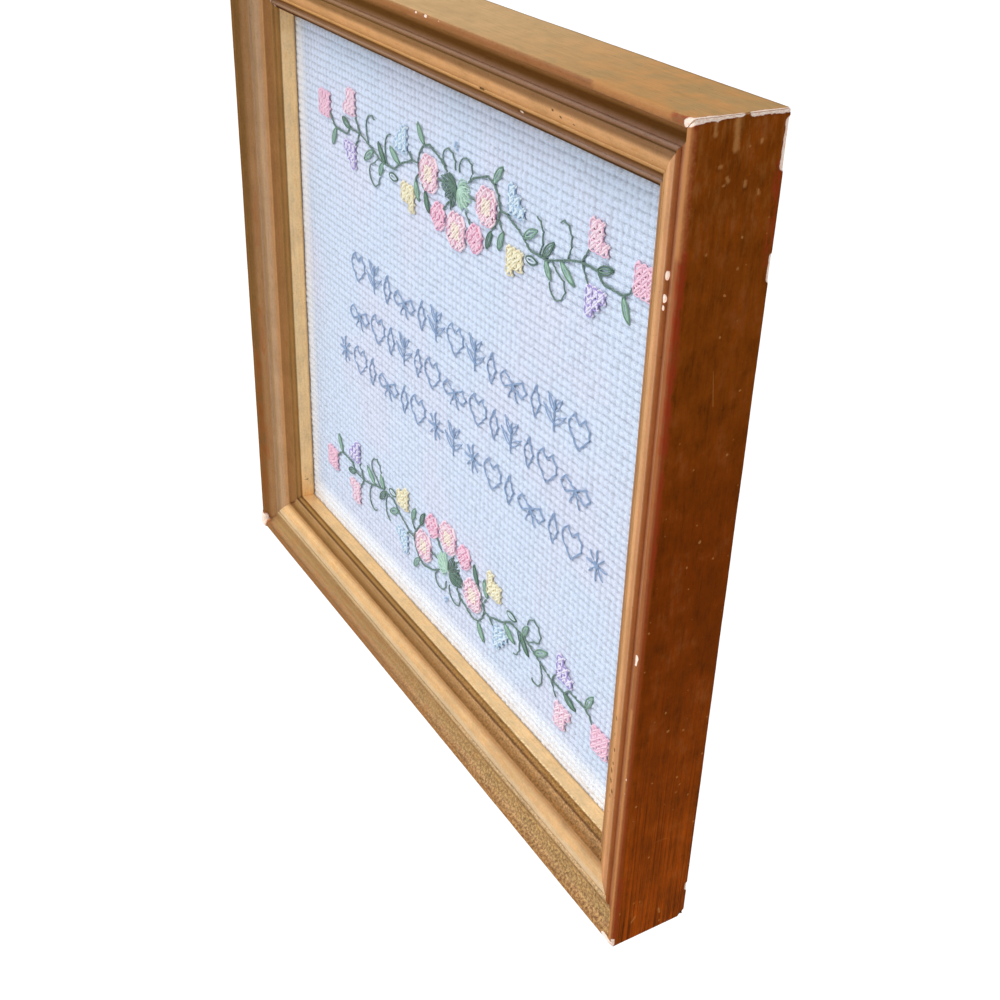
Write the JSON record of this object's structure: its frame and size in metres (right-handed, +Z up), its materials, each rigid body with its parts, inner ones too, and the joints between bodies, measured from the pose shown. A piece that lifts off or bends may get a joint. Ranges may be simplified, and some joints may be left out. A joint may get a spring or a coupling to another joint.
{
  "type": "cross-stitch sampler in a gilt wooden picture frame",
  "caption": "Flat embroidered block-weave cloth with flower garlands, held in the rebate of a mitred gilt wooden moulding, to hang on a wall.",
  "frame": {"origin": "middle of the top rail's back face, where the frame meets the wall that it hangs on", "axes": "+X along the top rail to the right seen from the front, +Y into the wall, +Z up"},
  "size_m": [0.191, 0.0184, 0.169],
  "materials": {
    "gilt_wood": "worn bronze-gold gilding over red clay ground on wood, satin, with chips down to white gesso",
    "block_weave_cloth": "white cotton block weave, 14 blocks to the inch, matt, embroidered in stranded cotton",
    "back_board": "plain brown pressed board, matt"
  },
  "bodies": {
    "root": {"rail_top": "gilt_wood", "rail_bottom": "gilt_wood", "rail_left": "gilt_wood", "rail_right": "gilt_wood", "embroidered_cloth": "block_weave_cloth", "back_board": "back_board"}
  },
  "joints": []
}
